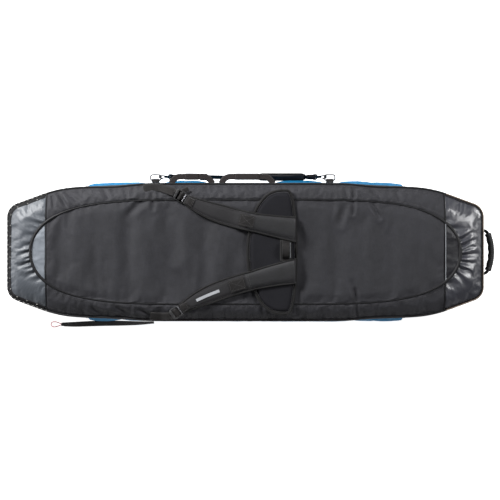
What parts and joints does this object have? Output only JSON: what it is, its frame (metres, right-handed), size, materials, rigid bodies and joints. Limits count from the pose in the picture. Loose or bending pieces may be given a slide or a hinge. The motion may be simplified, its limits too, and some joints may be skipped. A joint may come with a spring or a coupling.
{
  "type": "kiteboard bag",
  "caption": "Padded kiteboard travel bag, zipped clamshell with rounded ends, backpack straps, lumbar pad, carry handles, shoulder strap and end grab handle.",
  "frame": {"origin": "centre of the flat face of the front panel, which the bag lies on", "axes": "+X along the bag towards the end with the grab handle and the zip sliders; +Y towards the long side with the carry handles; +Z out of the back panel, which carries the backpack straps"},
  "size_m": [1.5, 0.4837, 0.182],
  "materials": {
    "black_cloth": "woven polyester, matt",
    "grey_coated": "coated fabric with a soft sheen",
    "blue_cloth": "woven nylon, slight sheen",
    "lining": "plain woven lining",
    "piping": "bound edge cord",
    "webbing": "ribbed polyester webbing",
    "pad_cloth": "padded mesh cloth",
    "plastic": "moulded acetal, satin",
    "metal": "dark plated die casting",
    "zip": "zip tape",
    "coil": "nylon zip coil",
    "rubber_grip": "ribbed moulded grip",
    "cord_red": "braided cord",
    "label": "reflective strip"
  },
  "bodies": {
    "front_shell": {"front_panel": "black_cloth", "front_lining": "lining", "front_piping": "piping", "front_gusset_handle_side": "blue_cloth", "front_gusset_hinge_side": "blue_cloth", "front_gusset_tail": "black_cloth", "front_gusset_nose": "black_cloth", "front_zip_tape": "zip", "front_zip_coil": "coil", "hinge_web": "black_cloth", "ring_tab_nose": "webbing", "ring_tab_tail": "webbing", "tail_strap": "webbing", "tail_knot": "plastic", "pull_loop": "cord_red", "tie_strap_hinge_side": "webbing", "tie_strap_handle_side": "webbing", "tie_socket": "plastic"},
    "back_shell": {"back_zip_tape": "zip", "back_zip_coil": "coil", "back_gusset": "black_cloth", "back_edge_piping": "piping", "back_centre_panel": "black_cloth", "centre_end_nose": "grey_coated", "centre_end_tail": "grey_coated", "oval_piping": "piping", "back_lining": "lining", "back_border_handle_side": "black_cloth", "back_border_hinge_side": "black_cloth", "tail_cap": "grey_coated", "nose_cap": "grey_coated", "lumbar_pad": "pad_cloth", "strap_webbing_upper": "webbing", "strap_webbing_lower": "webbing", "haul_loop": "webbing"},
    "upper_strap": {"shoulder_strap_upper": "black_cloth", "strap_patch_upper": "webbing"},
    "lower_strap": {"shoulder_strap_lower": "black_cloth", "strap_patch_lower": "webbing", "reflective_label": "label"},
    "upper_buckle": {"ladder_lock_upper": "plastic"},
    "lower_buckle": {"ladder_lock_lower": "plastic"},
    "nose_handle": {"carry_handle_nose": "webbing"},
    "tail_handle": {"carry_handle_tail": "webbing"},
    "carry_strap": {"ring_nose": "metal", "ring_tail": "metal", "snap_hook_nose": "metal", "snap_hook_tail": "metal", "carry_webbing": "webbing"},
    "gate_nose": {"hook_gate_nose": "metal"},
    "gate_tail": {"hook_gate_tail": "metal"},
    "carry_strap_pad": {"carry_pad": "pad_cloth"},
    "carry_strap_slider": {"triglide": "plastic"},
    "grab_handle": {"grab_webbing": "webbing", "grab_grip": "rubber_grip"},
    "slider_a": {"zip_slider_a": "metal"},
    "slider_b": {"zip_slider_b": "metal"},
    "pull_a": {"zip_pull_a": "metal"},
    "pull_b": {"zip_pull_b": "metal"},
    "tie_release": {"tie_plug": "plastic"}
  },
  "joints": [
    {"name": "lid_hinge", "type": "hinge", "parent": "front_shell", "child": "back_shell", "pos_m": [0, -0.217, 0.097], "axis": [1, 0, 0], "range_deg": [0, 100]},
    {"name": "upper_strap_lift", "type": "hinge", "parent": "back_shell", "child": "upper_strap", "pos_m": [0.156, 0.068, 0.1677], "axis": [0, 1, 0], "range_deg": [0, 22]},
    {"name": "lower_strap_lift", "type": "hinge", "parent": "back_shell", "child": "lower_strap", "pos_m": [0.156, -0.058, 0.1677], "axis": [0, 1, 0], "range_deg": [0, 22]},
    {"name": "upper_buckle_tilt", "type": "hinge", "parent": "upper_strap", "child": "upper_buckle", "pos_m": [-0.18704, 0.1639, 0.1557], "axis": [0.5112, 0.8595, 0], "range_deg": [0, 30]},
    {"name": "lower_buckle_tilt", "type": "hinge", "parent": "lower_strap", "child": "lower_buckle", "pos_m": [-0.19989, -0.17714, 0.1557], "axis": [-0.5615, 0.8275, 0], "range_deg": [0, 30]},
    {"name": "nose_handle_fold", "type": "hinge", "parent": "back_shell", "child": "nose_handle", "pos_m": [-0.165, 0.2125, 0.112], "axis": [1, 0, 0], "range_deg": [-65, 70]},
    {"name": "tail_handle_fold", "type": "hinge", "parent": "back_shell", "child": "tail_handle", "pos_m": [0.005, 0.2125, 0.112], "axis": [1, 0, 0], "range_deg": [-65, 70]},
    {"name": "carry_strap_swing", "type": "hinge", "parent": "front_shell", "child": "carry_strap", "pos_m": [0, 0.223, 0.052], "axis": [1, 0, 0], "range_deg": [-8, 55]},
    {"name": "gate_nose_pivot", "type": "hinge", "parent": "carry_strap", "child": "gate_nose", "pos_m": [-0.25132, 0.23148, 0.04298], "axis": [0, 0.9063, -0.4226], "range_deg": [0, 30], "stiffness_Nm_per_rad": 0.02},
    {"name": "gate_tail_pivot", "type": "hinge", "parent": "carry_strap", "child": "gate_tail", "pos_m": [0.23432, 0.23148, 0.04298], "axis": [0, -0.9063, 0.4226], "range_deg": [0, 30], "stiffness_Nm_per_rad": 0.02},
    {"name": "carry_pad_slide", "type": "slide", "parent": "carry_strap", "child": "carry_strap_pad", "axis": [1, 0, 0], "range_m": [-0.02, 0.02]},
    {"name": "strap_slider_slide", "type": "slide", "parent": "carry_strap", "child": "carry_strap_slider", "axis": [1, 0, 0], "range_m": [-0.07, 0.1]},
    {"name": "grab_handle_swing", "type": "hinge", "parent": "front_shell", "child": "grab_handle", "pos_m": [0.7367, 0, 0.05], "axis": [0, -1, 0], "range_deg": [-20, 25]},
    {"name": "slider_a_run", "type": "slide", "parent": "front_shell", "child": "slider_a", "axis": [0, 1, 0], "range_m": [-0.012, 0.001]},
    {"name": "slider_b_run", "type": "slide", "parent": "front_shell", "child": "slider_b", "axis": [0, 1, 0], "range_m": [0, 0.168]},
    {"name": "pull_a_swing", "type": "hinge", "parent": "slider_a", "child": "pull_a", "pos_m": [0.7322, -0.0905, 0.097], "axis": [0, 0, 1], "range_deg": [0, 95]},
    {"name": "pull_b_swing", "type": "hinge", "parent": "slider_b", "child": "pull_b", "pos_m": [0.7322, -0.0735, 0.097], "axis": [0, 0, -1], "range_deg": [0, 95]},
    {"name": "tie_buckle_release", "type": "slide", "parent": "front_shell", "child": "tie_release", "axis": [0, -1, 0], "range_m": [0, 0.03]}
  ]
}
